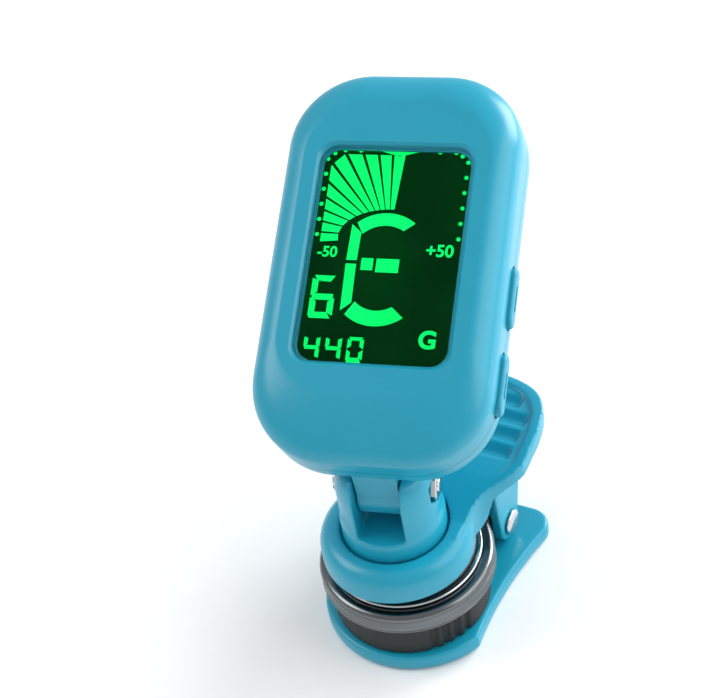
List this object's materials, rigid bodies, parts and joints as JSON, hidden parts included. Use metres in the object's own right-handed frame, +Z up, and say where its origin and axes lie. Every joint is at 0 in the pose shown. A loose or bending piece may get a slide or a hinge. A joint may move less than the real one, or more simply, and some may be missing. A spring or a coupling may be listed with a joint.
{
  "type": "clip on tuner",
  "caption": "Clip-on instrument tuner: a lit display head on a tilting, swivelling fork, carried by a sprung clip with rubber jaw pads.",
  "frame": {"origin": "the point of the flat underside of the lower arm that lies on the axis of the swivel", "axes": "+Z up, out of the underside towards the head; +Y back to the finger levers; -Y to the tip of the jaws; +X to the side of the buttons"},
  "size_m": [0.0419, 0.0578, 0.0698],
  "materials": {
    "blue_plastic": "satin moulded",
    "steel_band": "brushed",
    "bright_steel": "polished",
    "spring_steel": "oiled dark",
    "black_rubber": "matte moulded",
    "black_plastic": "matte",
    "clear_window": "clear glossy",
    "lcd_glass": "glossy",
    "diffuser_plastic": "milky",
    "board_laminate": "solder mask",
    "contact_brass": "plated",
    "lamp_plastic": "clear"
  },
  "bodies": {
    "lower_jaw": {"lower_arm": "blue_plastic", "lower_pad": "black_rubber", "hinge_pin": "bright_steel", "hinge_pin_retainer": "bright_steel", "torsion_spring": "spring_steel"},
    "upper_jaw": {"upper_arm": "blue_plastic", "jaw_band": "steel_band", "jaw_bead": "bright_steel", "jaw_collar": "black_plastic", "upper_pad": "black_rubber"},
    "fork": {"swivel_fork": "blue_plastic", "tilt_screw": "bright_steel", "tilt_nut": "bright_steel", "swivel_washer": "bright_steel", "swivel_screw": "bright_steel"},
    "head": {"front_housing": "blue_plastic", "rear_housing": "blue_plastic", "display_window": "clear_window", "lcd_panel": "lcd_glass", "backlight_diffuser": "diffuser_plastic", "zebra_connector": "black_rubber", "circuit_board": "board_laminate", "backlight_led_left": "lamp_plastic", "backlight_led_right": "lamp_plastic", "tuner_chip": "black_plastic", "quartz_crystal": "bright_steel", "piezo_disc": "contact_brass", "power_switch": "bright_steel", "mode_switch": "bright_steel", "coin_cell": "bright_steel", "battery_contact_negative": "contact_brass", "battery_contact_positive": "contact_brass", "housing_screw_lower_left": "spring_steel", "housing_screw_lower_right": "spring_steel", "housing_screw_upper_left": "spring_steel", "housing_screw_upper_right": "spring_steel"},
    "power_button": {"power_button": "blue_plastic"},
    "mode_button": {"mode_button": "blue_plastic"},
    "battery_cover": {"battery_cover": "blue_plastic"}
  },
  "joints": [
    {"name": "jaw_hinge", "type": "hinge", "parent": "lower_jaw", "child": "upper_jaw", "pos_m": [0, 0.0165, 0.0059], "axis": [-1, 0, 0], "range_deg": [0, 38], "stiffness_Nm_per_rad": 0.05, "springref_deg": -63.03, "deforming": ["torsion_spring"]},
    {"name": "head_swivel", "type": "hinge", "parent": "upper_jaw", "child": "fork", "pos_m": [0, 0, 0.0199], "axis": [0, 0, 1], "continuous": true},
    {"name": "head_tilt", "type": "hinge", "parent": "fork", "child": "head", "pos_m": [0, 0, 0.0283], "axis": [0.9732, 0.23, 0], "range_deg": [-38, 50]},
    {"name": "power_press", "type": "slide", "parent": "head", "child": "power_button", "axis": [-0.9732, -0.23, 0], "range_m": [0, 0.0004], "stiffness_N_per_m": 800, "springref_m": -0.0005},
    {"name": "mode_press", "type": "slide", "parent": "head", "child": "mode_button", "axis": [-0.9732, -0.23, 0], "range_m": [0, 0.0004], "stiffness_N_per_m": 800, "springref_m": -0.0005},
    {"name": "cover_twist", "type": "hinge", "parent": "head", "child": "battery_cover", "pos_m": [-0.00599, 0.02534, 0.04962], "axis": [0.108, -0.4569, 0.8829], "range_deg": [0, 45]}
  ]
}
